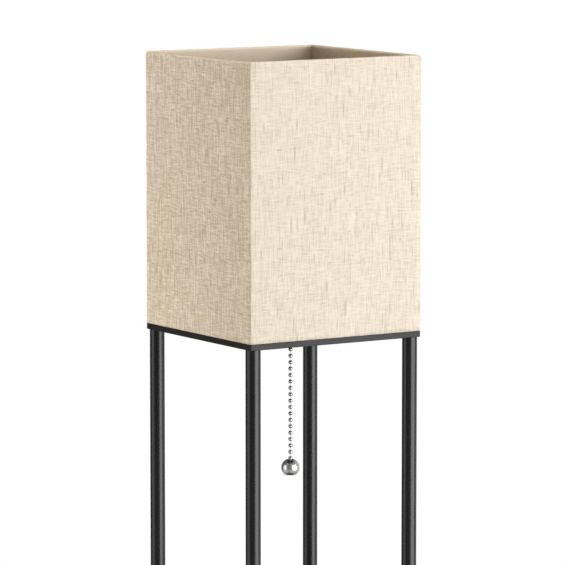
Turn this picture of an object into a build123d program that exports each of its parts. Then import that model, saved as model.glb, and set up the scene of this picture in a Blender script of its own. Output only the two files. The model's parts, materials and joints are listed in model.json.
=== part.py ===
"""Shelf floor lamp: four tube posts, three open shelves and a square fabric shade over a pull-chain socket.

Millimetres, +Z up.  The origin is on the floor, midway between the four feet.  The front of the
lamp, where the pull chain hangs, faces -Y.
"""

import os
from math import atan, cos, degrees, radians, sin, sqrt, tan

from build123d import *

# ---------------------------------------------------------------- driving dimensions: the stand
BOARD_SIDE = 254.0            # side of each square shelf, and of the board under the shade
BOARD_THICKNESS = 8.0
BOARD_CORNER_RADIUS = 1.5     # the boards' four upright edges
BOARD_EDGE_BREAK = 0.6        # small chamfer round both faces of a board
BAY_HEIGHT = 386.0            # clear height between one board and the next, which is a pole's length
BAY_COUNT = 3
TUBE_DIAMETER = 19.0
TUBE_WALL = 1.0
TUBE_INSET = 10.0             # from a board's edge to a tube's axis
LEG_LENGTH = 54.0
PLUG_LENGTH = 15.0            # solid plug welded into the end of a tube
STUD_DIAMETER = 6.0
STUD_GRIP = 10.0              # how far a stud or screw reaches into the tube it is turned into
STUD_BORE_DEPTH = 12.0
GLIDE_HEIGHT = 6.0            # part of a foot glide that shows below its tube
GLIDE_PLUG_LENGTH = 14.0
GLIDE_EDGE_BREAK = 1.5
SCREW_HEAD_DIAMETER = 10.5
SCREW_HEAD_HEIGHT = 3.2
SCREW_HEAD_BREAK = 1.2
SCREW_KEY_WIDTH = 4.0         # across the flats of the hexagon recess
SCREW_KEY_DEPTH = 2.0

# ---------------------------------------------------------------- driving dimensions: the shade
SHADE_HEIGHT = 350.0
FABRIC_THICKNESS = 0.6
LINER_THICKNESS = 0.6
WIRE_DIAMETER = 3.0           # the shade's wire frame
HEM_DEPTH = 8.0               # how far the fabric turns down inside the top edge
HEM_SLOPE = 2.0               # height in which the fabric is tucked back to the liner below the wire
SPIDER_HUB_DIAMETER = 28.0    # flat ring of the lower wire frame, clamped under the socket
SPIDER_ARM_ANGLE = 35.0       # degrees from the X axis, which keeps the arms off the corner screws
SPIDER_HUB_THICKNESS = 2.4

# ---------------------------------------------------------------- driving dimensions: the socket
NIPPLE_DIAMETER = 10.0        # hollow threaded rod that holds socket, shade and board together
NIPPLE_BORE = 7.0
NIPPLE_BELOW = 10.0           # how far it hangs below the board
NIPPLE_IN_CAP = 7.0
NUT_ACROSS_FLATS = 14.0
NUT_HEIGHT = 3.0
NUT_EDGE_BREAK = 0.8          # turned chamfer on the nut's lower corners
WASHER_DIAMETER = 17.0
WASHER_THICKNESS = 1.2
BUSHING_FLANGE_DIAMETER = 12.0
BUSHING_FLANGE_THICKNESS = 1.6
BUSHING_LENGTH = 8.0          # sleeve inside the nipple
BUSHING_BORE = 5.2            # way through for the mains lead

CAP_HUB_DIAMETER = 15.0
CAP_HUB_HEIGHT = 6.0
CAP_DOME_HEIGHT = 7.0
CAP_RIM_HEIGHT = 2.8
CAP_WALL = 0.8
SHELL_DIAMETER = 31.8
SHELL_WALL = 0.6
SHELL_HEIGHT = 40.0
SHELL_LIP = 0.7               # rolled edge round the shell's mouth
SHELL_SLOT_WIDTH = 6.4        # window that the pull lever comes out through
LINER_TUBE_WALL = 0.5         # insulating sleeve inside the shell
SWITCH_BODY_HEIGHT = 20.0
SWITCH_CHAMBER_WIDTH = 5.6
TERMINAL_RECESS_DEPTH = 3.4
TERMINAL_RECESS_WIDTH = 9.0
TERMINAL_RECESS_HEIGHT = 9.0
TERMINAL_HEAD_DIAMETER = 6.4
TERMINAL_HEAD_HEIGHT = 2.0
TERMINAL_SHANK_DIAMETER = 3.2
TERMINAL_SHANK_LENGTH = 4.0
SCREW_SHELL_BORE = 26.4       # takes the bulb's 26 mm screw cap
SCREW_SHELL_WALL = 0.4
SCREW_SHELL_HEIGHT = 18.0
SCREW_SHELL_FLANGE = 4.0      # floor of the screw shell, riveted to the switch body
CONTACT_THICKNESS = 0.5
CONTACT_WIDTH = 6.0
CONTACT_SPAN = 14.0
CONTACT_RISE = 1.8

# ---------------------------------------------------------------- driving dimensions: the bulb
BULB_DIAMETER = 60.0
BULB_WALL = 0.8
BULB_CAP_DIAMETER = 25.8
BULB_CAP_WALL = 0.5
BULB_CAP_HEIGHT = 20.0
BULB_INSULATOR_HEIGHT = 3.0
BULB_TIP_DIAMETER = 9.0
BULB_TIP_HEIGHT = 1.2
BULB_NECK_OVERLAP = 5.0       # how far the globe's neck sits down inside the cap
BULB_NECK_HEIGHT = 5.1        # straight neck that shows between the cap and the shoulder
BULB_SHOULDER_RADIUS = 46.0   # hollow curve from neck to globe

# ---------------------------------------------------------------- driving dimensions: the pull chain
CHAIN_RADIUS = 22.0           # from the lamp's axis to the chain
SOCKET_TURN = -5.0            # degrees that the socket, and so the chain, stands past square to the front
BEAD_DIAMETER = 5.4
BEAD_PITCH = 8.26
LINK_DIAMETER = 1.2
BEADS_BELOW_SWING = 18        # beads that show; one more is trapped inside the ball
BEADS_ABOVE_SWING = 6
SWING_DROP = 10.5             # from the board's underside to the bead that the chain swings on
SWING_GAP = 0.12              # between that bead and the links on each side of it
BALL_DIAMETER = 23.2
BALL_FLAT_DIAMETER = 15.4     # flat foot of the ball pull
BALL_BORE = 7.0               # blind hole up from the foot to the trapped bead
BEAD_STAND = 0.5              # how far the lowest bead that shows has its centre above the ball
GROMMET_BORE = 7.2
GROMMET_WALL = 1.0
GROMMET_FLANGE_DIAMETER = 14.0
GROMMET_FLANGE_THICKNESS = 1.0
GUIDE_BORE = 6.6
GUIDE_WALL = 0.9
GUIDE_HEIGHT = 8.0
GUIDE_FLARE = 1.4             # how much wider the bell mouth is at its lower end
GUIDE_WEB_WIDTH = 5.0
GUIDE_WEB_HEIGHT = 4.0
GUIDE_TOP_BELOW_PIVOT = 8.4
CHAIN_TRAVEL = 8.0            # how far the chain pulls down to work the switch
LEVER_REACH = 12.5            # level distance from the lever's pivot to the chain
LEVER_THICKNESS = 1.6
LEVER_WIDTH = 5.0
LEVER_SLOT_WIDTH = 1.8        # narrower than a bead, wider than a link
LEVER_SLOT_START = 10.0       # along the lever, from its pivot
LEVER_TIP = 16.6
LEVER_TAIL = 6.0
LEVER_HUB_DIAMETER = 4.8
LEVER_PIN_DIAMETER = 2.0
LEVER_PIN_LENGTH = 11.0
SPRING_THICKNESS = 0.3
SPRING_WIDTH = 4.0
SPRING_RISE = 4.0

# ---------------------------------------------------------------- named clearances
SLIP = 0.05                   # turned pieces of one assembly that fit in each other
STUD_CLEARANCE = 0.25         # a stud, screw or nipple in its hole through a board
RUNNING = 0.04                # the lever on its pin
LOOSE = 0.1                   # thin stampings and sleeves inside the socket
BEAD_REST_GAP = 0.3           # between the lever and the bead that pulls it
WIRE_LIFT = 0.3               # the lower wire frame above the board
BULB_REST_GAP = 0.05          # the bulb's tip above the centre contact

# ---------------------------------------------------------------- places worked out from them
TUBE_RADIUS = TUBE_DIAMETER / 2
TUBE_BORE_RADIUS = TUBE_RADIUS - TUBE_WALL
STUD_RADIUS = STUD_DIAMETER / 2
POLE_OFFSET = BOARD_SIDE / 2 - TUBE_INSET
FIRST_BOARD = GLIDE_HEIGHT + LEG_LENGTH
BOARD_STEP = BOARD_THICKNESS + BAY_HEIGHT
SHADE_BOARD_UNDERSIDE = FIRST_BOARD + BAY_COUNT * BOARD_STEP
SHADE_BOARD_TOP = SHADE_BOARD_UNDERSIDE + BOARD_THICKNESS
SHADE_TOP = SHADE_BOARD_TOP + SHADE_HEIGHT
SHADE_WALL = BOARD_SIDE / 2

WIRE_RADIUS = WIRE_DIAMETER / 2
FOLD_RADIUS = FABRIC_THICKNESS + (LINER_THICKNESS + WIRE_DIAMETER) / 2 + LOOSE
LINER_FACE = SHADE_WALL - FABRIC_THICKNESS
LINER_INSIDE = LINER_FACE - LINER_THICKNESS
WIRE_LINE = LINER_INSIDE - LOOSE - WIRE_RADIUS
FOLD_CENTRE = SHADE_TOP - FOLD_RADIUS

CAP_BOTTOM = SHADE_BOARD_TOP + SPIDER_HUB_THICKNESS
CAP_SHOULDER = CAP_BOTTOM + CAP_HUB_HEIGHT
CAP_RIM_BOTTOM = CAP_SHOULDER + CAP_DOME_HEIGHT
CAP_RIM_TOP = CAP_RIM_BOTTOM + CAP_RIM_HEIGHT
SHELL_RADIUS = SHELL_DIAMETER / 2
CAP_RADIUS = SHELL_RADIUS + LOOSE + CAP_WALL
NIPPLE_RADIUS = NIPPLE_DIAMETER / 2
SHELL_BOTTOM = CAP_RIM_BOTTOM + LOOSE
SHELL_TOP = SHELL_BOTTOM + SHELL_HEIGHT
LINER_TUBE_RADIUS = SHELL_RADIUS - SHELL_WALL - LOOSE
SWITCH_BODY_RADIUS = LINER_TUBE_RADIUS - LINER_TUBE_WALL - LOOSE
SWITCH_BODY_BOTTOM = SHELL_BOTTOM
SWITCH_BODY_TOP = SWITCH_BODY_BOTTOM + SWITCH_BODY_HEIGHT
SCREW_SHELL_RADIUS = SCREW_SHELL_BORE / 2
CONTACT_TOP = SWITCH_BODY_TOP + CONTACT_RISE + CONTACT_THICKNESS
BULB_BOTTOM = CONTACT_TOP + BULB_REST_GAP

BEAD_RADIUS = BEAD_DIAMETER / 2
LINK_RADIUS = LINK_DIAMETER / 2
BEAD_WAIST = sqrt(BEAD_RADIUS**2 - LINK_RADIUS**2)
SWING_LINK = BEAD_PITCH - BEAD_WAIST - BEAD_RADIUS - SWING_GAP
BALL_RADIUS = BALL_DIAMETER / 2
SWING_Z = SHADE_BOARD_UNDERSIDE - SWING_DROP
TOP_BEAD_Z = SWING_Z + BEADS_ABOVE_SWING * BEAD_PITCH
LOWEST_BEAD_Z = SWING_Z - BEADS_BELOW_SWING * BEAD_PITCH
TRAPPED_BEAD_Z = LOWEST_BEAD_Z - BEAD_PITCH
BALL_CENTRE_Z = LOWEST_BEAD_Z - BEAD_STAND - BALL_RADIUS
LEVER_TILT = degrees(atan(CHAIN_TRAVEL / 2 / LEVER_REACH))
LEVER_STAND_OFF = LEVER_THICKNESS / 2 + BEAD_RADIUS + BEAD_REST_GAP
LEVER_PIVOT_Z = (
    TOP_BEAD_Z - LEVER_REACH * tan(radians(LEVER_TILT)) - LEVER_STAND_OFF / cos(radians(LEVER_TILT))
)
LEVER_PIVOT_Y = LEVER_REACH - CHAIN_RADIUS
GUIDE_TOP = LEVER_PIVOT_Z - GUIDE_TOP_BELOW_PIVOT

TO_SOCKET = Rot(0, 0, SOCKET_TURN)
TO_CHAIN = TO_SOCKET * Pos(0, -CHAIN_RADIUS, 0)
UPRIGHT = (Align.CENTER, Align.CENTER, Align.MIN)
CORNERS = {
    "front_left": (-POLE_OFFSET, -POLE_OFFSET),
    "front_right": (POLE_OFFSET, -POLE_OFFSET),
    "back_left": (-POLE_OFFSET, POLE_OFFSET),
    "back_right": (POLE_OFFSET, POLE_OFFSET),
}


# ---------------------------------------------------------------- shared shapes
def rod(radius, bottom, top):
    """A round bar on the Z axis between two heights."""
    return Pos(0, 0, bottom) * Cylinder(radius, top - bottom, align=UPRIGHT)


def sleeve(outer_radius, inner_radius, bottom, top):
    """A round tube on the Z axis."""
    return rod(outer_radius, bottom, top) - rod(inner_radius, bottom, top)


def block(size_x, size_y, bottom, top):
    """A box centred on the Z axis between two heights."""
    return Pos(0, 0, bottom) * Box(size_x, size_y, top - bottom, align=UPRIGHT)


def turned(outline):
    """A solid turned about the Z axis from a closed outline of (radius, height)."""
    return revolve(Plane.XZ * make_face(outline), Axis.Z)


def at_corners(piece):
    """The same piece at each of the four poles."""
    return [Pos(x, y, 0) * piece for x, y in CORNERS.values()]


def square_frame(section):
    """A square frame with mitred corners, from the section of its +X side in the XZ plane."""
    reach = BOARD_SIDE
    quarter = Polyline((0, 0), (reach, -reach), (reach, reach), close=True)
    bottom = section.bounding_box().min.Z
    top = section.bounding_box().max.Z
    mitre = Pos(0, 0, bottom) * extrude(make_face(quarter), top - bottom)
    side = extrude(section, reach, both=True) & mitre
    return side + [Rot(0, 0, turn) * side for turn in (90, 180, 270)]


# ---------------------------------------------------------------- the stand
def foot_glide():
    """Plastic glide: a foot as wide as the tube, and a plug that sits up inside it."""
    foot = rod(TUBE_RADIUS, 0, GLIDE_HEIGHT)
    foot = chamfer(foot.edges().sort_by(Axis.Z)[0], GLIDE_EDGE_BREAK)
    plug = rod(TUBE_BORE_RADIUS - SLIP, GLIDE_HEIGHT, GLIDE_HEIGHT + GLIDE_PLUG_LENGTH)
    return foot + plug


def leg_tube():
    """Short tube under the lowest shelf: open below for its glide, plugged and tapped above."""
    top = FIRST_BOARD
    tube = sleeve(TUBE_RADIUS, TUBE_BORE_RADIUS, GLIDE_HEIGHT, top)
    plug = rod(TUBE_BORE_RADIUS, top - PLUG_LENGTH, top)
    return tube + plug - stud_bore(top)


def pole(bottom):
    """Tube that stands on one board and carries the next, with its stud down through the lower board."""
    top = bottom + BAY_HEIGHT
    tube = rod(TUBE_RADIUS, bottom, top)
    tube -= rod(TUBE_BORE_RADIUS, bottom + PLUG_LENGTH, top - PLUG_LENGTH)
    stud = rod(STUD_RADIUS, bottom - BOARD_THICKNESS - STUD_GRIP, bottom)
    return tube + stud - stud_bore(top)


def stud_bore(top):
    """Tapped hole down into a tube's plugged end."""
    return rod(STUD_RADIUS + SLIP, top - STUD_BORE_DEPTH, top)


def board(bottom):
    """Square board with a stud hole at each pole."""
    slab = block(BOARD_SIDE, BOARD_SIDE, bottom, bottom + BOARD_THICKNESS)
    slab = fillet(slab.edges().filter_by(Axis.Z), BOARD_CORNER_RADIUS)
    rims = slab.faces().filter_by(Axis.Z).edges()
    slab = chamfer(rims, BOARD_EDGE_BREAK)
    hole = rod(STUD_RADIUS + STUD_CLEARANCE, bottom, bottom + BOARD_THICKNESS)
    return slab - at_corners(hole)


def shade_board():
    """The board under the shade, also drilled for the nipple and the chain's grommet."""
    bottom = SHADE_BOARD_UNDERSIDE
    nipple_hole = rod(NIPPLE_RADIUS + STUD_CLEARANCE, bottom, SHADE_BOARD_TOP)
    grommet_hole = rod(GROMMET_BORE / 2 + GROMMET_WALL + SLIP, bottom, SHADE_BOARD_TOP)
    return board(bottom) - nipple_hole - TO_CHAIN * grommet_hole


def top_screw():
    """Low-headed screw, with a hexagon recess, down through the shade board into a pole."""
    head = rod(SCREW_HEAD_DIAMETER / 2, SHADE_BOARD_TOP, SHADE_BOARD_TOP + SCREW_HEAD_HEIGHT)
    head = chamfer(head.edges().sort_by(Axis.Z)[-1], SCREW_HEAD_BREAK)
    key_floor = SHADE_BOARD_TOP + SCREW_HEAD_HEIGHT - SCREW_KEY_DEPTH
    key = RegularPolygon(SCREW_KEY_WIDTH / 2, 6, major_radius=False)
    head -= Pos(0, 0, key_floor) * extrude(key, SCREW_KEY_DEPTH)
    shank = rod(STUD_RADIUS, SHADE_BOARD_UNDERSIDE - STUD_GRIP, SHADE_BOARD_TOP)
    return head + shank


# ---------------------------------------------------------------- the shade
def shade_fabric():
    """Fabric skin: straight walls that roll over the top wire and tuck in under it, against the liner."""
    roll_inside = SHADE_WALL - 2 * FOLD_RADIUS
    tuck_top = FOLD_CENTRE - WIRE_RADIUS
    tuck_bottom = tuck_top - HEM_SLOPE
    hem_face = LINER_INSIDE - FABRIC_THICKNESS
    wall = Line((SHADE_WALL, SHADE_BOARD_TOP), (SHADE_WALL, FOLD_CENTRE))
    roll = ThreePointArc(wall @ 1, (SHADE_WALL - FOLD_RADIUS, SHADE_TOP), (roll_inside, FOLD_CENTRE))
    hem = Polyline(
        roll @ 1,
        (roll_inside, tuck_top),
        (hem_face, tuck_bottom),
        (hem_face, SHADE_TOP - HEM_DEPTH),
    )
    skin = offset(wall + roll + hem, FABRIC_THICKNESS, kind=Kind.INTERSECTION, side=Side.LEFT)
    return square_frame(Plane.XZ * make_face(skin))


def shade_liner():
    """Stiff sheet that the fabric is laminated to."""
    outline = Polyline(
        (LINER_INSIDE, SHADE_BOARD_TOP),
        (LINER_FACE, SHADE_BOARD_TOP),
        (LINER_FACE, FOLD_CENTRE),
        (LINER_INSIDE, FOLD_CENTRE),
        close=True,
    )
    return square_frame(Plane.XZ * make_face(outline))


def wire_square(height):
    """Square of round wire just inside the liner."""
    return square_frame(Plane.XZ * Pos(WIRE_LINE, height) * Circle(WIRE_RADIUS))


def shade_spider():
    """Lower wire square, four slanting arms and the ring that the socket clamps, welded together."""
    height = SHADE_BOARD_TOP + WIRE_LIFT + WIRE_RADIUS
    hub_radius = SPIDER_HUB_DIAMETER / 2
    arm_start = hub_radius - WIRE_DIAMETER
    arm_length = WIRE_LINE / cos(radians(SPIDER_ARM_ANGLE)) - arm_start
    arm = Pos(arm_start, 0, height) * Rot(0, 90, 0) * Cylinder(WIRE_RADIUS, arm_length, align=UPRIGHT)
    turns = [side + lean for side in (0, 180) for lean in (-SPIDER_ARM_ANGLE, SPIDER_ARM_ANGLE)]
    arms = [Rot(0, 0, turn) * arm for turn in turns]
    hub = rod(hub_radius, SHADE_BOARD_TOP, CAP_BOTTOM)
    seat = rod(NIPPLE_RADIUS + STUD_CLEARANCE, SHADE_BOARD_TOP, CAP_BOTTOM)
    return wire_square(height) + arms + hub - seat


# ---------------------------------------------------------------- nipple, nut and cord gland
def lamp_nipple():
    """Hollow threaded rod through board, shade spider and socket cap."""
    bottom = SHADE_BOARD_UNDERSIDE - NIPPLE_BELOW
    return sleeve(NIPPLE_RADIUS, NIPPLE_BORE / 2, bottom, CAP_BOTTOM + NIPPLE_IN_CAP)


def nipple_washer():
    """Flat washer against the board's underside."""
    top = SHADE_BOARD_UNDERSIDE
    return sleeve(WASHER_DIAMETER / 2, NIPPLE_RADIUS + SLIP, top - WASHER_THICKNESS, top)


def nipple_nut():
    """Hexagon nut that clamps the whole stack."""
    top = SHADE_BOARD_UNDERSIDE - WASHER_THICKNESS
    bottom = top - NUT_HEIGHT
    hexagon = RegularPolygon(NUT_ACROSS_FLATS / 2, 6, major_radius=False)
    blank = rod(NUT_ACROSS_FLATS / 2 / cos(radians(30)), bottom, top)
    blank = chamfer(blank.edges().sort_by(Axis.Z)[0], NUT_EDGE_BREAK)
    nut = Pos(0, 0, bottom) * extrude(hexagon, NUT_HEIGHT) & blank
    return nut - rod(NIPPLE_RADIUS + SLIP, bottom, top)


def cord_bushing():
    """Smooth plastic gland in the nipple's lower end."""
    top = SHADE_BOARD_UNDERSIDE - NIPPLE_BELOW
    flange = rod(BUSHING_FLANGE_DIAMETER / 2, top - BUSHING_FLANGE_THICKNESS, top)
    lower_edge = flange.edges().sort_by(Axis.Z)[0]
    flange = fillet(lower_edge, BUSHING_FLANGE_THICKNESS / 2)
    tube = rod(NIPPLE_BORE / 2 - SLIP, top, top + BUSHING_LENGTH)
    return flange + tube - rod(BUSHING_BORE / 2, top - BUSHING_FLANGE_THICKNESS, top + BUSHING_LENGTH)


# ---------------------------------------------------------------- the pull-chain socket
def cap_crown(inset):
    """Quarter-round edge of the cap between shoulder and rim, drawn inwards by a wall's thickness."""
    centre = (CAP_RADIUS - CAP_DOME_HEIGHT, CAP_RIM_BOTTOM)
    return CenterArc(centre, CAP_DOME_HEIGHT - inset, 270, 90)


def cap_solid(growth):
    """The cap's bell as a solid lump, for pieces that seat against its outside."""
    crown = cap_crown(-growth)
    core = Polyline(
        crown @ 1, (CAP_RADIUS + growth, CAP_RIM_TOP), (0, CAP_RIM_TOP), (0, CAP_SHOULDER - growth), crown @ 0
    )
    return turned(crown + core)


def socket_cap():
    """Metal cup under the socket, with a tapped hub that is turned onto the nipple."""
    hub_bore = NIPPLE_RADIUS + SLIP
    outside = cap_crown(0)
    inside = cap_crown(CAP_WALL)
    hub = Polyline(
        inside @ 0, (hub_bore, CAP_SHOULDER + CAP_WALL), (hub_bore, CAP_BOTTOM),
        (CAP_HUB_DIAMETER / 2, CAP_BOTTOM), (CAP_HUB_DIAMETER / 2, CAP_SHOULDER), outside @ 0,
    )
    rim = Polyline(outside @ 1, (CAP_RADIUS, CAP_RIM_TOP), (CAP_RADIUS - CAP_WALL, CAP_RIM_TOP), inside @ 1)
    return turned(hub + outside + rim + inside)


def lever_window():
    """Upright window through shell and sleeve, tall enough for the lever's whole swing."""
    swing = (SHELL_RADIUS + LEVER_PIVOT_Y) * tan(radians(LEVER_TILT)) + LEVER_THICKNESS
    inside = SWITCH_BODY_RADIUS - LINER_TUBE_WALL
    window = Box(
        SHELL_SLOT_WIDTH, CAP_RADIUS - inside, 2 * swing, align=(Align.CENTER, Align.MAX, Align.CENTER)
    )
    return Pos(0, -inside, LEVER_PIVOT_Z) * window


def socket_shell():
    """Thin metal shell with a rolled mouth and a window for the lever."""
    shell = sleeve(SHELL_RADIUS, SHELL_RADIUS - SHELL_WALL, SHELL_BOTTOM, SHELL_TOP)
    lip_bottom = SHELL_TOP - 2 * SHELL_LIP
    lip = sleeve(SHELL_RADIUS + SHELL_LIP, SHELL_RADIUS - SHELL_WALL, lip_bottom, SHELL_TOP)
    return TO_SOCKET * (shell + lip - lever_window())


def socket_liner():
    """Insulating sleeve between the shell and the switch body."""
    inner = LINER_TUBE_RADIUS - LINER_TUBE_WALL
    tube = sleeve(LINER_TUBE_RADIUS, inner, SHELL_BOTTOM, SHELL_TOP - SHELL_LIP)
    return TO_SOCKET * (tube - lever_window())


def terminal_recess():
    """Pocket in the side of the switch body round a terminal screw."""
    pocket = Box(
        TERMINAL_RECESS_DEPTH, TERMINAL_RECESS_WIDTH, TERMINAL_RECESS_HEIGHT,
        align=(Align.MAX, Align.CENTER, Align.MIN),
    )
    return Pos(SWITCH_BODY_RADIUS, 0, SWITCH_BODY_BOTTOM) * pocket


def switch_body():
    """Moulded block that holds lever, contact and screw shell."""
    body = rod(SWITCH_BODY_RADIUS, SWITCH_BODY_BOTTOM, SWITCH_BODY_TOP)
    chamber_depth = SWITCH_BODY_RADIUS + LOOSE
    chamber_top = LEVER_PIVOT_Z + LEVER_TAIL
    chamber = Box(
        SWITCH_CHAMBER_WIDTH, chamber_depth, chamber_top - SWITCH_BODY_BOTTOM,
        align=(Align.CENTER, Align.MAX, Align.MIN),
    )
    body -= Pos(0, 0, SWITCH_BODY_BOTTOM) * chamber
    body -= lever_axle(LEVER_PIN_DIAMETER / 2 + SLIP, LEVER_PIN_LENGTH + SLIP)
    for side in (0, 180):
        body -= Rot(0, 0, side) * terminal_recess()
        body -= Rot(0, 0, side) * terminal_shank(SLIP)
    return TO_SOCKET * body


def terminal_shank(growth):
    """Shank of a terminal screw, or with growth its hole."""
    end = SWITCH_BODY_RADIUS - TERMINAL_RECESS_DEPTH
    height = SWITCH_BODY_BOTTOM + TERMINAL_RECESS_HEIGHT / 2
    shank = Cylinder(TERMINAL_SHANK_DIAMETER / 2 + growth, TERMINAL_SHANK_LENGTH + growth, align=UPRIGHT)
    return Pos(end, 0, height) * Rot(0, -90, 0) * shank


def terminal_screws():
    """Two brass screws that the lead's wires are made fast to."""
    face = SWITCH_BODY_RADIUS - TERMINAL_RECESS_DEPTH
    height = SWITCH_BODY_BOTTOM + TERMINAL_RECESS_HEIGHT / 2
    head = Cylinder(TERMINAL_HEAD_DIAMETER / 2, TERMINAL_HEAD_HEIGHT, align=UPRIGHT)
    screw = Pos(face, 0, height) * Rot(0, 90, 0) * head + terminal_shank(0)
    return [TO_SOCKET * Rot(0, 0, side) * screw for side in (0, 180)]


def screw_shell():
    """Metal shell that the bulb's cap is turned into, with its riveted floor."""
    outer = SCREW_SHELL_RADIUS + SCREW_SHELL_WALL
    bottom = SWITCH_BODY_TOP
    wall = sleeve(outer, SCREW_SHELL_RADIUS, bottom, bottom + SCREW_SHELL_HEIGHT)
    floor = sleeve(outer, outer - SCREW_SHELL_FLANGE, bottom, bottom + SCREW_SHELL_WALL)
    return wall + floor


def centre_contact():
    """Springy brass strip, bent up in the middle of the screw shell."""
    foot = CONTACT_SPAN / 2
    crest = CONTACT_SPAN / 6
    low = SWITCH_BODY_TOP
    high = low + CONTACT_RISE
    outline = Polyline(
        (-foot, low), (-2 * crest, low), (-crest, high), (crest, high), (2 * crest, low), (foot, low),
        (foot, low + CONTACT_THICKNESS), (2 * crest - CONTACT_THICKNESS / 2, low + CONTACT_THICKNESS),
        (crest, high + CONTACT_THICKNESS), (-crest, high + CONTACT_THICKNESS),
        (CONTACT_THICKNESS / 2 - 2 * crest, low + CONTACT_THICKNESS), (-foot, low + CONTACT_THICKNESS),
        close=True,
    )
    return TO_SOCKET * extrude(Plane.XZ * make_face(outline), CONTACT_WIDTH / 2, both=True)


# ---------------------------------------------------------------- lever, pin and spring
def lever_axle(radius, length):
    """Level round bar through the lever's pivot."""
    return Pos(0, LEVER_PIVOT_Y, LEVER_PIVOT_Z) * Rot(0, 90, 0) * Cylinder(radius, length)


def pull_lever():
    """Forked lever, tilted up at rest, that the top bead of the chain pulls down."""
    arm_length = LEVER_TIP + LEVER_TAIL
    arm = Box(LEVER_WIDTH, arm_length, LEVER_THICKNESS, align=(Align.CENTER, Align.MIN, Align.CENTER))
    arm = Pos(0, -LEVER_TIP, 0) * arm
    slot_length = LEVER_TIP - LEVER_SLOT_START
    slot = Box(LEVER_SLOT_WIDTH, slot_length, LEVER_THICKNESS, align=(Align.CENTER, Align.MIN, Align.CENTER))
    arm -= Pos(0, -LEVER_TIP, 0) * slot
    arm -= Pos(0, -LEVER_SLOT_START, 0) * Cylinder(LEVER_SLOT_WIDTH / 2, LEVER_THICKNESS)
    hub = Rot(0, 90, 0) * Cylinder(LEVER_HUB_DIAMETER / 2, LEVER_WIDTH)
    bore = Rot(0, 90, 0) * Cylinder(LEVER_PIN_DIAMETER / 2 + RUNNING, LEVER_WIDTH)
    tilted = Rot(-LEVER_TILT, 0, 0) * (arm + hub - bore)
    return TO_SOCKET * Pos(0, LEVER_PIVOT_Y, LEVER_PIVOT_Z) * tilted


def lever_pin():
    """Steel pin that the lever turns on."""
    return TO_SOCKET * lever_axle(LEVER_PIN_DIAMETER / 2, LEVER_PIN_LENGTH)


def lever_spring():
    """Leaf spring over the lever's tail, which brings lever and chain back up."""
    tail_y = LEVER_PIVOT_Y + LEVER_TAIL * cos(radians(LEVER_TILT)) - LEVER_THICKNESS
    tail_top = LEVER_PIVOT_Z - LEVER_TAIL * sin(radians(LEVER_TILT)) + LEVER_THICKNESS
    low = tail_top + BEAD_REST_GAP
    high = low + SPRING_RISE
    outline = Polyline(
        (tail_y - LEVER_THICKNESS, low + SPRING_THICKNESS), (tail_y, low), (-LOOSE, high),
        (-LOOSE, high + SPRING_THICKNESS), (tail_y, low + 2 * SPRING_THICKNESS),
        (tail_y - LEVER_THICKNESS, low + 2 * SPRING_THICKNESS),
        close=True,
    )
    return TO_SOCKET * extrude(Plane.YZ * make_face(outline), SPRING_WIDTH / 2, both=True)


# ---------------------------------------------------------------- the bulb
def bulb_contact():
    """Tip contact of the bulb."""
    return rod(BULB_TIP_DIAMETER / 2, BULB_BOTTOM, BULB_BOTTOM + BULB_TIP_HEIGHT)


def bulb_insulator():
    """Glassy cone between tip contact and screw cap."""
    bottom = BULB_BOTTOM + BULB_TIP_HEIGHT
    cap_inside = BULB_CAP_DIAMETER / 2 - BULB_CAP_WALL
    cone = Cone(BULB_TIP_DIAMETER / 2, cap_inside, BULB_INSULATOR_HEIGHT, align=UPRIGHT)
    return Pos(0, 0, bottom) * cone


def bulb_cap():
    """Screw cap of the bulb."""
    bottom = BULB_BOTTOM + BULB_TIP_HEIGHT + BULB_INSULATOR_HEIGHT
    radius = BULB_CAP_DIAMETER / 2
    return sleeve(radius, radius - BULB_CAP_WALL, bottom, bottom + BULB_CAP_HEIGHT)


def bulb_globe():
    """Pear-shaped glass globe with an even wall, open at its neck."""
    return globe_solid(0) - globe_solid(BULB_WALL)


def globe_solid(inset):
    """Neck, hollow shoulder and sphere, all tangent, drawn inwards by a wall's thickness."""
    cap_top = BULB_BOTTOM + BULB_TIP_HEIGHT + BULB_INSULATOR_HEIGHT + BULB_CAP_HEIGHT
    neck_bottom = cap_top - BULB_NECK_OVERLAP
    neck_radius = BULB_CAP_DIAMETER / 2 - BULB_CAP_WALL - SLIP - inset
    globe_radius = BULB_DIAMETER / 2 - inset
    hollow_radius = BULB_SHOULDER_RADIUS + inset
    apart = hollow_radius + globe_radius
    shoulder = cap_top + BULB_NECK_HEIGHT
    centre = shoulder + sqrt(apart**2 - (neck_radius + hollow_radius) ** 2)
    share = globe_radius / apart
    meet = ((neck_radius + hollow_radius) * share, centre + (shoulder - centre) * share)
    wall = Line((neck_radius, neck_bottom), (neck_radius, shoulder))
    hollow = TangentArc(wall @ 1, meet, tangent=(0, 1))
    crown = TangentArc(meet, (0, centre + globe_radius), tangent=hollow % 1)
    core = Polyline(crown @ 1, (0, neck_bottom), wall @ 0)
    return turned(wall + hollow + crown + core)


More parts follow.
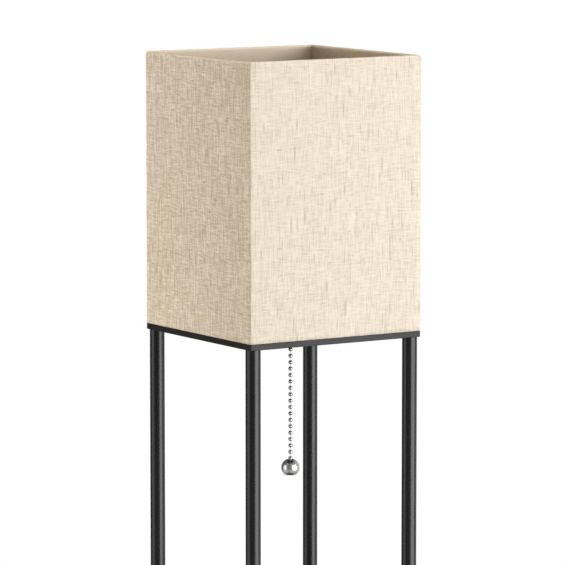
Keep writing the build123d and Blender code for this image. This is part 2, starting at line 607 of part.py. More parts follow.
# ---------------------------------------------------------------- the pull chain
def bead_string(lowest, count, link_below, link_above):
    """Beads on one line, joined by links, with a link past each end."""
    bottom = lowest - BEAD_WAIST - link_below
    top = lowest + (count - 1) * BEAD_PITCH + BEAD_WAIST + link_above
    edges = [Polyline((LINK_RADIUS, top), (0, top), (0, bottom), (LINK_RADIUS, bottom))]
    below = (LINK_RADIUS, bottom)
    for number in range(count):
        middle = lowest + number * BEAD_PITCH
        start = (LINK_RADIUS, middle - BEAD_WAIST)
        end = (LINK_RADIUS, middle + BEAD_WAIST)
        edges += [Line(below, start), ThreePointArc(start, (BEAD_RADIUS, middle), end)]
        below = end
    edges.append(Line(below, (LINK_RADIUS, top)))
    return TO_CHAIN * turned(edges)


def chain_upper():
    """The stretch from the bead above the lever down to the link over the swing bead."""
    return bead_string(SWING_Z + BEAD_PITCH, BEADS_ABOVE_SWING, SWING_LINK, LINK_DIAMETER)


def swing_bead():
    """The bead that the hanging chain swings on."""
    return TO_CHAIN * Pos(0, 0, SWING_Z) * Sphere(BEAD_RADIUS)


def chain_lower():
    """The stretch from the link under the swing bead down to the bead trapped in the ball pull."""
    return bead_string(TRAPPED_BEAD_Z, BEADS_BELOW_SWING + 1, LINK_DIAMETER, SWING_LINK)


def ball_pull():
    """Ball with a flat foot, bored up from below, that hangs on the trapped bead."""
    flat = BALL_CENTRE_Z - sqrt(BALL_RADIUS**2 - (BALL_FLAT_DIAMETER / 2) ** 2)
    ball = Pos(0, 0, BALL_CENTRE_Z) * Sphere(BALL_RADIUS)
    foot = rod(BALL_RADIUS, BALL_CENTRE_Z - BALL_RADIUS, flat)
    seat = Pos(0, 0, LOWEST_BEAD_Z) * Sphere(BEAD_RADIUS + SLIP)
    link_hole = rod(LINK_RADIUS + SLIP, TRAPPED_BEAD_Z, LOWEST_BEAD_Z)
    bore = rod(BALL_BORE / 2, flat, TRAPPED_BEAD_Z + BEAD_WAIST + SLIP)
    return TO_CHAIN * (ball - foot - seat - link_hole - bore)


def chain_grommet():
    """Flanged ferrule that the chain runs through in the shade board."""
    bore = GROMMET_BORE / 2
    outer = bore + GROMMET_WALL
    tube = sleeve(outer, bore, SHADE_BOARD_UNDERSIDE, SHADE_BOARD_TOP)
    flange_top = SHADE_BOARD_TOP + GROMMET_FLANGE_THICKNESS
    flange = sleeve(GROMMET_FLANGE_DIAMETER / 2, bore, SHADE_BOARD_TOP, flange_top)
    return TO_CHAIN * (tube + flange)


def chain_guide():
    """Bell-mouthed ring on the side of the socket cap that steadies the chain."""
    bore = GUIDE_BORE / 2
    outer = bore + GUIDE_WALL
    bottom = GUIDE_TOP - GUIDE_HEIGHT
    wall = Line((bore, GUIDE_TOP), (outer, GUIDE_TOP))
    flare = TangentArc((outer, GUIDE_TOP), (outer + GUIDE_FLARE, bottom), tangent=(0, -1))
    mouth = Line((outer + GUIDE_FLARE, bottom), (bore + GUIDE_FLARE, bottom))
    throat = TangentArc((bore, GUIDE_TOP), (bore + GUIDE_FLARE, bottom), tangent=(0, -1))
    bell = Pos(0, -CHAIN_RADIUS, 0) * turned(wall + flare + mouth + throat)
    web = Box(
        GUIDE_WEB_WIDTH, CHAIN_RADIUS - SWITCH_BODY_RADIUS, GUIDE_WEB_HEIGHT,
        align=(Align.CENTER, Align.MIN, Align.MAX),
    )
    web = Pos(0, -CHAIN_RADIUS, GUIDE_TOP) * web
    web -= Pos(0, -CHAIN_RADIUS, 0) * rod(outer - SLIP, bottom, GUIDE_TOP)
    return TO_SOCKET * (bell + web - cap_solid(SLIP))


# ---------------------------------------------------------------- write every node
def build():
    """Every node of the lamp by name."""
    nodes = {}
    for corner, (x, y) in CORNERS.items():
        place = Pos(x, y, 0)
        nodes[f"foot_glide_{corner}"] = place * foot_glide()
        nodes[f"leg_tube_{corner}"] = place * leg_tube()
        for bay, level in enumerate(("lower", "middle", "upper")):
            bottom = FIRST_BOARD + BOARD_THICKNESS + bay * BOARD_STEP
            nodes[f"pole_{level}_{corner}"] = place * pole(bottom)
    for number, level in enumerate(("bottom", "middle", "top")):
        nodes[f"shelf_{level}"] = board(FIRST_BOARD + number * BOARD_STEP)
    nodes["shade_board"] = shade_board()
    nodes["top_screws"] = Compound(children=at_corners(top_screw()))
    nodes["shade_fabric"] = shade_fabric()
    nodes["shade_liner"] = shade_liner()
    nodes["shade_top_wire"] = wire_square(FOLD_CENTRE)
    nodes["shade_spider"] = shade_spider()
    nodes["lamp_nipple"] = lamp_nipple()
    nodes["nipple_washer"] = nipple_washer()
    nodes["nipple_nut"] = nipple_nut()
    nodes["cord_bushing"] = cord_bushing()
    nodes["socket_cap"] = socket_cap()
    nodes["socket_shell"] = socket_shell()
    nodes["socket_liner"] = socket_liner()
    nodes["switch_body"] = switch_body()
    nodes["terminal_screws"] = Compound(children=terminal_screws())
    nodes["screw_shell"] = screw_shell()
    nodes["centre_contact"] = centre_contact()
    nodes["pull_lever"] = pull_lever()
    nodes["lever_pin"] = lever_pin()
    nodes["lever_spring"] = lever_spring()
    nodes["chain_guide"] = chain_guide()
    nodes["chain_grommet"] = chain_grommet()
    nodes["chain_upper"] = chain_upper()
    nodes["swing_bead"] = swing_bead()
    nodes["chain_lower"] = chain_lower()
    nodes["ball_pull"] = ball_pull()
    nodes["bulb_contact"] = bulb_contact()
    nodes["bulb_insulator"] = bulb_insulator()
    nodes["bulb_cap"] = bulb_cap()
    nodes["bulb_globe"] = bulb_globe()
    return nodes


if __name__ == "__main__":
    os.makedirs("parts", exist_ok=True)
    for name, shape in build().items():
        export_step(shape, f"parts/{name}.step")
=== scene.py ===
"""Looks of the shelf floor lamp: linen shade, satin black shelf stand and nickel pull chain.

Metres, +Z up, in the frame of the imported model.
"""

import json
from math import cos, pi, radians, sin

import bmesh
import bpy
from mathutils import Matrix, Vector, noise


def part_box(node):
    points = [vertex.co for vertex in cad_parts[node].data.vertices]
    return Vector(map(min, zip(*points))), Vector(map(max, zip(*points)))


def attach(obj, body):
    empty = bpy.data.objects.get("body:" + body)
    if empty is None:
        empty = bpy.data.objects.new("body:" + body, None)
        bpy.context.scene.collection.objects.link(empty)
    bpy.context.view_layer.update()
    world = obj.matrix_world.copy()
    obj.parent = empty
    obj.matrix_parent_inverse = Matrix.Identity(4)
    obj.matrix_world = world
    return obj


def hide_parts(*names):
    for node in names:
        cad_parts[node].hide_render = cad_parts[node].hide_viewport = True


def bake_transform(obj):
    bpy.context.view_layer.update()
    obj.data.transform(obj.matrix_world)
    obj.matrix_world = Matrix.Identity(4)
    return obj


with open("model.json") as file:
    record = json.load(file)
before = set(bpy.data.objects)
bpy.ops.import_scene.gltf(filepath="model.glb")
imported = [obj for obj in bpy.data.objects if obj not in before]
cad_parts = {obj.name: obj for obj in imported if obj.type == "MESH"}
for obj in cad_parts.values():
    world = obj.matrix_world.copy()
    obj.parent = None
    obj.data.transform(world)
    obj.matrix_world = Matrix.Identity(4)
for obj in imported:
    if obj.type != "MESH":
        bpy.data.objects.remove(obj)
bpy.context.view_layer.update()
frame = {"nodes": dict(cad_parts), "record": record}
SHADE_LOW, SHADE_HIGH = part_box("shade_fabric")
BLACK = (0.0, 0.0, 0.0, 1.0)
WHITE = (1.0, 1.0, 1.0, 1.0)

# ---------------------------------------------------------------- the camera
PICTURE_SIDE = 565            # pixels across the square picture
FOCAL_PIXELS = 4128.6         # focal length, in the picture's pixels
SENSOR_WIDTH = 36.0           # millimetres
CAMERA_AZIMUTH = -32.25       # degrees round from the front, towards the lamp's left
CAMERA_DISTANCE = 5.234
CAMERA_HEIGHT = 1.9365
CAMERA_PITCH = 6.861          # degrees below the horizon
CAMERA_REACH = 100.0          # nothing farther away is drawn

# ---------------------------------------------------------------- the studio
FLOOR_RADIUS = 7.0
FLOOR_STEPS = 96              # edges of the round floor
FLOOR_FADE = (0.9, 2.1)       # distances from the lamp between which the floor turns plain white
FLOOR_COLOUR = (0.80, 0.795, 0.785, 1.0)
SKY_COLOUR = (1.0, 0.955, 0.90, 1.0)
SKY_LEVEL = 0.16
# The lamps, which gloss and metal don't show. Name: azimuth, distance, height of the centre,
# tilt down in degrees, width, length, radiance, colour
SOFTBOXES = {
    "key_high": (27.0, 2.7, 1.9, 0.0, 2.6, 0.76, 11.1, (0.98, 1.0, 1.02)),
    "key_low": (27.0, 2.7, 0.8, 0.0, 2.6, 1.4, 2.6, (0.98, 1.0, 1.02)),
    "fill": (-126.0, 2.0, 1.0, 0.0, 1.1, 2.0, 3.85, (1.0, 0.965, 0.89)),
    "top": (-24.0, 0.3, 6.0, 90.0, 1.6, 1.6, 9.0, (1.0, 0.97, 0.93)),
    "warm": (-150.0, 2.7, 1.3, 0.0, 1.6, 2.4, 3.55, (1.0, 0.87, 0.73)),
}
# The cards round the lamp that gloss and metal show instead. Name: from and to which azimuth,
# distance, height of the lower and of the upper edge, how light
WALL_CARDS = {
    "card_key": (-2.0, 50.0, 3.2, 0.0, 2.8, 5.1),
    "card_fill": (-126.0, -86.0, 3.2, 0.0, 2.6, 1.6),
    "card_front": (-105.0, 46.0, 3.4, 0.0, 4.2, 0.22),
    "card_right": (46.0, 120.0, 3.4, 0.0, 4.2, 0.62),
    "card_back": (120.0, 255.0, 3.4, 0.0, 4.2, 0.07),
}
# The cards overhead and underfoot. Name: height, how light
LEVEL_CARDS = {
    "card_ceiling": (4.2, 0.45),
    "card_floor": (0.001, 0.5),
}
LEVEL_CARD_RADIUS = 3.4
CARD_STEP = 5.0               # degrees between one corner of a card and the next

# ---------------------------------------------------------------- the shade's skin
FABRIC = 0.0006               # thickness of the cloth
SKIN_GAP = 0.00005            # between the skin's inner side and the liner
CORNER_RADIUS = 0.0016
CORNER_STEPS = 4
SHARP = 0.00004               # corner radius of the turned-in cloth, which is mitred
WALL_COLUMNS = 44
WALL_ROWS = 56
ROLL_RADIUS = 0.0025          # of the cloth's roll over the top wire
ROLL_STEPS = 12
HEM_FACE = 0.0018             # depth of the hem's lower end, in from the walls' outer face
HEM_BOTTOM = 0.0240           # depth below the rim that the cloth is turned in to
TUCK_STEPS = 8                # rows of cloth between the roll and the hem's lower end
RIPPLE = 0.00012              # how far the walls stray from flat
RIPPLE_SCALE = 22.0
RIPPLE_FADE = 0.02            # height over which it dies out at the walls' upper and lower edge

# ---------------------------------------------------------------- the linen
LINEN_LIGHT = (0.885, 0.79, 0.655, 1.0)
LINEN_SHADED = (0.70, 0.595, 0.46, 1.0)
LINEN_FLECKED = (0.50, 0.385, 0.255, 1.0)
# Painted highlight on the lightest threads of the side walls
LINEN_THREAD_HIGHLIGHT = (0.98, 0.90, 0.78, 1.0)
# Painted highlight where the cloth turns over the rim
RIM_HIGHLIGHT_COLOUR = (1.0, 0.88, 0.72, 1.0)
LINER_COLOUR = (0.88, 0.75, 0.575, 1.0)
LINEN_ROUGHNESS = 0.9
YARN = 0.0009                 # pitch of the weave's threads
YARN_SWAY = 0.0016            # how far the threads stray from straight
SWAY_SCALE = (18.0, 26.0, 1.0)
WARP_RUN = 0.020              # length over which an upright thread changes its tone
WEFT_RUN = 0.013              # the same for a level thread
SLUB = 0.0018                 # width of the thick stretches of yarn
SLUB_RUN = 0.034              # length over which an upright thick stretch comes and goes
CLOUD_SCALE = (22.0, 9.0, 1.0)
# Steps through the noise, so that no two threads, walls or kinds of yarn look the same
THREAD_APART = 7.31
WALL_APART = 13.7             # back and right wall one way from 0, front and left the other
SIDE_APART = 31.3             # the side walls from front and back
WEFT_APART = 5.1
SLUB_APART = 2.3
CROSS_SLUB_APART = 8.9
# What upright yarn, level yarn, upright and level thick stretches, and clouds add to the tone
TONE_WEIGHTS = (1.1, 0.86, -0.22, -0.18, 0.06)
TONE_BAND = (-0.42, 0.26)     # tones between which the cloth goes from shaded to light
SIDE_PAINTED_CONTRAST = 2.0           # painted shading of the weave's relief: its tone is stretched on the walls that face sideways, where light rakes them
THREAD_HIGHLIGHT_BAND = (0.08, 0.28)     # tones between which threads of those walls get a painted highlight
THREAD_HIGHLIGHT = 0.8                   # how strong that painted highlight is
FLECK_BAND = (0.15, 0.27)     # thickness of yarn between whose values a fleck sets in
FLECK = 0.5                   # how dark it gets
CROSS_FLECK = 0.85            # level thick stretches count this much in it
# What crossings, upright yarn, level yarn, and upright and level thick stretches add to the relief
RELIEF_WEIGHTS = (0.5, 1.5, 1.5, 1.5, 1.5)
RELIEF = 0.0006               # height of the weave
SIDE_RELIEF = 0.0008          # the same on the walls that face sideways
RIM_HIGHLIGHT_START = 0.0030           # depth below the rim where the painted highlight along the cloth's turn over the wire begins
RIM_HIGHLIGHT_FULL = 0.0016            # depth below the rim where that painted highlight is strongest
FRONT_RIM_HIGHLIGHT = 0.25             # strength of that painted highlight on front and back, next to 1 on the sides
HEM_TINT = 0.8                # how far the turned-in cloth takes the liner's colour
HEM_BUMP = 0.3                # how much of the weave's relief it keeps

# ---------------------------------------------------------------- paint, metal and glass
# Name: colour, roughness, scale of the grain once or for each axis, height of the grain, specular
# level, how far the tone strays
COATS = {
    "liner": (LINER_COLOUR, 0.6, 260.0, 0.00002, 0.14, 0.03),
    "black_tube": ((0.0065, 0.0065, 0.0063), 0.28, 1100.0, 0.000001, 0.46, 0.06),
    "black_board": ((0.0145, 0.014, 0.0135), 0.3, (60.0, 60.0, 900.0), 0.00001, 0.19, 0.18),
    "black_plastic": ((0.02, 0.02, 0.02), 0.55, 1600.0, 0.00004, 0.3, 0.18),
    "wire": ((0.74, 0.71, 0.64), 0.35, 700.0, 0.00003, 0.3, 0.18),
    "phenolic": ((0.022, 0.018, 0.015), 0.25, 500.0, 0.00002, 0.3, 0.18),
    "fibre_sleeve": ((0.50, 0.39, 0.27), 0.75, (900.0, 900.0, 250.0), 0.00004, 0.3, 0.18),
}
COAT_PATCHES = 23.0           # scale of the broad patches that lie under the grain
COAT_BAND = (0.35, 0.65)      # values of the noise between which the tone changes
COAT_BUMP = 0.35
# Name: colour, roughness
METALS = {
    "nickel": ((0.68, 0.67, 0.65), 0.29),
    # Painted shade: a darker copy of the nickel for the chain's small beads
    "shaded_nickel": ((0.46, 0.45, 0.435), 0.17),
    "brass": ((0.80, 0.60, 0.29), 0.22),
    "zinc_steel": ((0.60, 0.61, 0.62), 0.30),
    "spring_steel": ((0.48, 0.48, 0.50), 0.28),
    "bulb_metal": ((0.76, 0.76, 0.77), 0.24),
    "lead": ((0.42, 0.42, 0.43), 0.5),
}
HAIRLINES = (1500.0, 1500.0, 300.0)    # scale of the hairlines along each axis
HAIR_BAND = (0.35, 0.7)       # values of the noise between which the roughness changes
HAIR_ROUGHNESS = (0.8, 1.25)  # least and most, as shares of the metal's roughness
HAIR_DEPTH = 0.00001
HAIR_BUMP = 0.25
BLOOM_SCALE = 140.0
BLOOM_SHADES = (0.93, 1.04)   # darkest and lightest, as shares of the metal's colour
CLOUD_BAND = (0.3, 0.7)       # values of the noise between which bloom and mottle change
GLASS_SHADES = ((0.86, 0.85, 0.82, 1.0), (0.91, 0.905, 0.88, 1.0))
GLASS_ROUGHNESS = (0.28, 0.36)
MOTTLE_SCALE = 60.0
# The chain's small beads, which get a darker copy of the nickel than the ball: painted shade
BEADED_NODES = ("chain_upper", "swing_bead", "chain_lower")
BEAD_SHADED_PLATING = "shaded_nickel"

# ---------------------------------------------------------------- the lever's spring
WELD = 0.000001               # corners nearer than this to each other become one
FLAT_ANGLE = 0.01             # radians between faces that are taken as one flat face
SPRING_CUTS = 5               # cuts across each edge


# ---------------------------------------------------------------- materials
class Look:
    """The nodes of one material, under construction."""

    def __init__(self, name, settings):
        self.material = bpy.data.materials.new(name)
        self.material.use_nodes = True
        self.tree = self.material.node_tree
        self.shader = self.tree.nodes["Principled BSDF"]
        self.place = self.add("TexCoord").outputs["Object"]
        for socket, value in settings.items():
            self.feed(self.shader.inputs[socket], value)

    def feed(self, socket, value):
        """A link if value is another node's output, or else the socket's own value."""
        if isinstance(value, bpy.types.NodeSocket):
            self.tree.links.new(value, socket)
        else:
            socket.default_value = value

    def add(self, kind, inputs=None, **settings):
        """A new node of a kind, with its settings and what its inputs are fed."""
        node = self.tree.nodes.new("ShaderNode" + kind)
        for name, value in settings.items():
            setattr(node, name, value)
        for socket, value in (inputs or {}).items():
            self.feed(node.inputs[socket], value)
        return node

    def maths(self, operation, a, b=0.0, c=0.0):
        """The result of an operation on one, two or three numbers."""
        return self.add("Math", {0: a, 1: b, 2: c}, operation=operation).outputs[0]

    def noise(self, place, scale, detail=2.0, roughness=0.5):
        """Noise of a place multiplied by scale, a number or one number for each axis."""
        if isinstance(scale, tuple):
            place = self.add("VectorMath", {0: place, 1: scale}, operation="MULTIPLY").outputs[0]
            scale = 1.0
        inputs = {"Vector": place, "Scale": scale, "Detail": detail, "Roughness": roughness}
        return self.add("TexNoise", inputs).outputs["Fac"]

    def stray(self, place, scale, detail=2.0):
        """Noise that goes as far below 0 as above it."""
        return self.maths("SUBTRACT", self.noise(place, scale, detail), 0.5)

    def spread(self, value, band, to_low=0.0, to_high=1.0):
        """A value within a band of low and high, laid out smoothly between to_low and to_high."""
        low, high = band
        inputs = {"Value": value, "From Min": low, "From Max": high}
        inputs.update({"To Min": to_low, "To Max": to_high})
        return self.add("MapRange", inputs, interpolation_type="SMOOTHSTEP").outputs["Result"]

    def mix(self, factor, first, second):
        """A colour between two. Inputs 6 and 7 and output 2 are the Mix node's own for colours."""
        return self.add("Mix", {0: factor, 6: first, 7: second}, data_type="RGBA").outputs[2]

    def pick(self, choice, first, second):
        """The first number where choice is 0, and the second where it is 1."""
        return self.add("Mix", {0: choice, 2: first, 3: second}, data_type="FLOAT").outputs[0]

    def bump(self, height, distance, strength):
        """The normal of a surface whose relief is height times distance."""
        inputs = {"Height": height, "Distance": distance, "Strength": strength}
        return self.add("Bump", inputs).outputs["Normal"]

    def weighted(self, values, weights):
        """The sum of values, each times its weight."""
        total = 0.0
        for value, weight in zip(values, weights, strict=True):
            total = self.maths("MULTIPLY_ADD", value, weight, total)
        return total

    def wave(self, value, pitch):
        """Rises and falls once over two pitches."""
        return self.maths("SINE", self.maths("MULTIPLY", value, pi / pitch))

    def finish(self, colour, roughness, normal=None):
        """The material, with its colour, roughness and normal in place."""
        self.feed(self.shader.inputs["Base Color"], colour)
        self.feed(self.shader.inputs["Roughness"], roughness)
        if normal is not None:
            self.feed(self.shader.inputs["Normal"], normal)
        return self.material


def shade_of(colour, factor):
    """A colour made lighter or darker."""
    return tuple(channel * factor for channel in colour[:3]) + (1.0,)


def thread_tone(look, across, along, width, run, seed):
    """Uneven tone of yarn, which changes along each thread and isn't shared with the next."""
    index = look.maths("FLOOR", look.maths("DIVIDE", across, width))
    lane = look.maths("MULTIPLY", index, THREAD_APART)
    length = look.maths("DIVIDE", along, run)
    place = look.add("CombineXYZ", {0: lane, 1: length, 2: seed}).outputs[0]
    return look.stray(place, 1.0, detail=1.0)


def linen_yarns(look, level, height, wall):
    """Tones of upright yarn, level yarn, and the thick stretches of both."""
    weft_seed = look.maths("ADD", wall, WEFT_APART)
    slub_seed = look.maths("ADD", wall, SLUB_APART)
    cross_slub_seed = look.maths("ADD", wall, CROSS_SLUB_APART)
    warp = thread_tone(look, level, height, YARN, WARP_RUN, wall)
    weft = thread_tone(look, height, level, YARN, WEFT_RUN, weft_seed)
    slub = thread_tone(look, level, height, SLUB, SLUB_RUN, slub_seed)
    cross_slub = thread_tone(look, height, level, SLUB, WEFT_RUN, cross_slub_seed)
    return warp, weft, slub, cross_slub


def woven_colour(look, tone, slub, cross_slub, side_wall):
    """Darker and lighter threads, a painted highlight on the lightest threads of the side walls,
    and flecks where yarn is thick.
    """
    colour = look.mix(look.spread(tone, TONE_BAND, 1.0, 0.0), LINEN_LIGHT, LINEN_SHADED)
    # Painted highlight on the side walls' lightest threads
    side_highlight = look.maths("MULTIPLY", side_wall, THREAD_HIGHLIGHT)
    thread_highlight = look.maths("MULTIPLY", look.spread(tone, THREAD_HIGHLIGHT_BAND), side_highlight)
    colour = look.mix(thread_highlight, colour, LINEN_THREAD_HIGHLIGHT)
    fleck = look.maths("MAXIMUM", slub, look.maths("MULTIPLY", cross_slub, CROSS_FLECK))
    return look.mix(look.spread(fleck, FLECK_BAND, 0.0, FLECK), colour, LINEN_FLECKED)


def hemmed_colour(look, colour, z, side_wall, turned_in):
    """The cloth's colour, with a painted highlight where it turns over the rim, and like the liner
    where turned in.
    """
    # Painted highlight along the rim, stronger on the side walls
    band = (SHADE_HIGH.z - RIM_HIGHLIGHT_START, SHADE_HIGH.z - RIM_HIGHLIGHT_FULL)
    rim_highlight = look.maths("MULTIPLY", look.spread(z, band), look.pick(side_wall, FRONT_RIM_HIGHLIGHT, 1.0))
    colour = look.mix(rim_highlight, colour, RIM_HIGHLIGHT_COLOUR)
    return look.mix(look.maths("MULTIPLY", turned_in, HEM_TINT), colour, LINER_COLOUR)


def linen():
    """Natural linen: a plain weave of uneven yarn, with thick stretches and darker flecks in it."""
    settings = {"Specular IOR Level": 0.12, "Sheen Weight": 0.08, "Sheen Roughness": 0.5}
    look = Look("linen", settings)
    x, y, z = look.add("SeparateXYZ", {0: look.place}).outputs
    from_middle_x = look.maths("ABSOLUTE", x)
    from_middle_y = look.maths("ABSOLUTE", y)
    side_wall = look.maths("GREATER_THAN", from_middle_x, from_middle_y)
    from_axis = look.maths("MAXIMUM", from_middle_x, from_middle_y)
    turned_in = look.maths("LESS_THAN", from_axis, SHADE_HIGH.x - ROLL_RADIUS)
    level = look.pick(side_wall, x, y)
    facing = look.maths("SIGN", look.pick(side_wall, y, x))
    side_seed = look.maths("MULTIPLY", side_wall, SIDE_APART)
    wall = look.maths("MULTIPLY_ADD", facing, WALL_APART, side_seed)
    cloth = look.add("CombineXYZ", {0: level, 1: z, 2: wall}).outputs[0]
    sway = look.maths("MULTIPLY", look.stray(cloth, SWAY_SCALE), YARN_SWAY)
    level = look.maths("ADD", level, sway)
    height = look.maths("ADD", z, sway)
    warp, weft, slub, cross_slub = linen_yarns(look, level, height, wall)
    cloud = look.stray(cloth, CLOUD_SCALE)
    tone = look.weighted((warp, weft, slub, cross_slub, cloud), TONE_WEIGHTS)
    # Painted shading of the relief: the tone is stretched on the side walls
    tone = look.maths("MULTIPLY", tone, look.pick(side_wall, 1.0, SIDE_PAINTED_CONTRAST))
    colour = woven_colour(look, tone, slub, cross_slub, side_wall)
    colour = hemmed_colour(look, colour, z, side_wall, turned_in)
    over = look.maths("MULTIPLY", look.wave(level, YARN), look.wave(height, YARN))
    crossings = look.maths("ABSOLUTE", over)
    relief = look.weighted((crossings, warp, weft, slub, cross_slub), RELIEF_WEIGHTS)
    depth = look.pick(side_wall, RELIEF, SIDE_RELIEF)
    normal = look.bump(relief, depth, look.pick(turned_in, 1.0, HEM_BUMP))
    return look.finish(colour, LINEN_ROUGHNESS, normal)


def coat(name, colour, roughness, grain, relief, specular, contrast):
    """Paint, plastic or fibre with a fine uneven skin."""
    look = Look(name, {"Specular IOR Level": specular})
    fine = look.noise(look.place, grain, detail=3.0)
    broad = look.noise(look.place, COAT_PATCHES)
    tone = look.weighted((fine, broad), (0.5, 0.5))
    darker = shade_of(colour, 1 - contrast)
    lighter = shade_of(colour, 1 + contrast)
    shades = look.mix(look.spread(tone, COAT_BAND), darker, lighter)
    smoother = roughness * (1 - contrast / 2)
    rougher = roughness * (1 + contrast / 2)
    uneven = look.spread(tone, COAT_BAND, smoother, rougher)
    return look.finish(shades, uneven, look.bump(fine, relief, COAT_BUMP))


def metal(name, colour, roughness):
    """Plated or bare metal with fine hairlines and a faint bloom."""
    look = Look(name, {"Metallic": 1.0})
    hair = look.noise(look.place, HAIRLINES, detail=3.0, roughness=0.6)
    bloom = look.noise(look.place, BLOOM_SCALE)
    darker, lighter = [shade_of(colour, share) for share in BLOOM_SHADES]
    shades = look.mix(look.spread(bloom, CLOUD_BAND), darker, lighter)
    smoother, rougher = [roughness * share for share in HAIR_ROUGHNESS]
    uneven = look.spread(hair, HAIR_BAND, smoother, rougher)
    return look.finish(shades, uneven, look.bump(hair, HAIR_DEPTH, HAIR_BUMP))


def opal_glass():
    """White coated glass, slightly mottled, under a smooth gloss."""
    settings = {"Coat Weight": 0.5, "Coat Roughness": 0.08}
    settings.update({"Subsurface Weight": 0.15, "Subsurface Radius": (0.004, 0.004, 0.0035)})
    look = Look("bulb_glass", settings)
    mottle = look.noise(look.place, MOTTLE_SCALE, detail=3.0)
    shades = look.mix(look.spread(mottle, CLOUD_BAND), *GLASS_SHADES)
    return look.finish(shades, look.spread(mottle, CLOUD_BAND, *GLASS_ROUGHNESS))


def make_materials():
    """One material for each slot of the record, and a darker copy of the nickel, painted shade, for
    the small beads.
    """
    materials = {"linen": linen()}
    for name, facts in COATS.items():
        materials[name] = coat(name, *facts)
    for name, facts in METALS.items():
        materials[name] = metal(name, *facts)
    materials["bulb_glass"] = opal_glass()
    return materials


def dress_nodes(materials):
    """Gives every node of the frame the material of its slot, and the small beads a darker copy of
    the nickel, which is painted shade.
    """
    for part in frame["record"]["subparts"]:
        node = part["node"]
        finish = BEAD_SHADED_PLATING if node in BEADED_NODES else part["material_slot"]
        mesh = frame["nodes"][node].data
        mesh.materials.clear()
        mesh.materials.append(materials[finish])


# ---------------------------------------------------------------- pieces
def mesh_piece(name, points, faces, material, smooth=False):
    """A mesh object from points and faces, with its normals outwards."""
    mesh = bpy.data.meshes.new(name)
    mesh.from_pydata(points, [], faces)
    shell = bmesh.new()
    shell.from_mesh(mesh)
    bmesh.ops.recalc_face_normals(shell, faces=shell.faces)
    shell.to_mesh(mesh)
    shell.free()
    mesh.polygons.foreach_set("use_smooth", [smooth] * len(mesh.polygons))
    mesh.materials.append(material)
    piece = bpy.data.objects.new(name, mesh)
    bpy.context.scene.collection.objects.link(piece)
    return piece


def ring(half, radius):
    """A square ring with rounded corners: for each point its place and its outward direction."""
    flat = half - radius
    signs = ((1, -1), (1, 1), (-1, 1), (-1, -1))
    centres = [Vector((x * flat, y * flat, 0)) for x, y in signs]
    points = []
    for turn, centre in enumerate(centres):
        start = turn * 90 - 90
        for step in range(CORNER_STEPS + 1):
            angle = radians(start + 90 * step / CORNER_STEPS)
            out = Vector((cos(angle), sin(angle), 0))
            points.append((centre + out * radius, out))
        first = centre + out * radius
        last = centres[(turn + 1) % len(centres)] + out * radius
        for step in range(1, WALL_COLUMNS):
            points.append((first.lerp(last, step / WALL_COLUMNS), out))
    return points


def roll_and_tuck(top, inset, roll_steps):
    """The cloth over the wire and back to the liner, on its outer face or an inset from it."""
    centre = top - ROLL_RADIUS
    reach = ROLL_RADIUS - inset
    turns = [pi * step / roll_steps for step in range(1, roll_steps + 1)]
    points = [(ROLL_RADIUS - reach * cos(turn), centre + reach * sin(turn)) for turn in turns]
    start = ROLL_RADIUS + reach
    for step in range(1, TUCK_STEPS + 1):
        share = step / TUCK_STEPS
        depth = start + (HEM_FACE - inset - start) * share
        points.append((depth, centre + (top - HEM_BOTTOM - centre) * share))
    return points


def skin_profile(top, bottom):
    """The skin's section as (depth in from the outer face, height), outside first, then inside."""
    wall_top = top - ROLL_RADIUS
    wall = wall_top - bottom
    outer = [(0.0, bottom + wall * row / WALL_ROWS) for row in range(WALL_ROWS + 1)]
    outer += roll_and_tuck(top, 0.0, ROLL_STEPS)
    inner = roll_and_tuck(top, FABRIC, ROLL_STEPS // 2)
    back = FABRIC - SKIN_GAP
    return outer + inner[::-1] + [(back, wall_top), (back, bottom)]


def rippled(point, out):
    """A point of a wall, moved in a little where the cloth isn't flat."""
    from_edge = min(point.z - SHADE_LOW.z, SHADE_HIGH.z - point.z)
    fade = max(min(from_edge / RIPPLE_FADE, 1.0), 0.0)
    stray = noise.noise(point * RIPPLE_SCALE) * RIPPLE
    return point - out * abs(stray) * fade


def shade_skin(material):
    """The linen skin of the shade, rolled over the top wire."""
    half = SHADE_HIGH.x
    profile = skin_profile(SHADE_HIGH.z, SHADE_LOW.z)
    points = []
    for depth, height in profile:
        for place, out in ring(half - depth, max(CORNER_RADIUS - depth, SHARP)):
            point = place + Vector((0, 0, height))
            points.append(rippled(point, out) if depth == 0.0 else point)
    columns = len(points) // len(profile)
    faces = []
    for row in range(len(profile)):
        here = row * columns
        above = (row + 1) % len(profile) * columns
        for column in range(columns):
            beside = (column + 1) % columns
            faces.append((here + column, here + beside, above + beside, above + column))
    piece = mesh_piece("linen_skin", points, faces, material, smooth=True)
    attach(piece, "stand")
    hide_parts("shade_fabric")


def leaf_spring(material):
    """The lever's return spring, finely divided."""
    leaf = bmesh.new()
    leaf.from_mesh(frame["nodes"]["lever_spring"].data)
    bmesh.ops.remove_doubles(leaf, verts=leaf.verts, dist=WELD)
    bmesh.ops.dissolve_limit(leaf, angle_limit=FLAT_ANGLE, verts=leaf.verts, edges=leaf.edges)
    bmesh.ops.triangulate(leaf, faces=leaf.faces)
    bmesh.ops.subdivide_edges(leaf, edges=leaf.edges, cuts=SPRING_CUTS, use_grid_fill=True)
    points = [tuple(vertex.co) for vertex in leaf.verts]
    faces = [tuple(vertex.index for vertex in face.verts) for face in leaf.faces]
    leaf.free()
    piece = mesh_piece("leaf_spring", points, faces, material)
    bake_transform(piece)
    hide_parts("lever_spring")


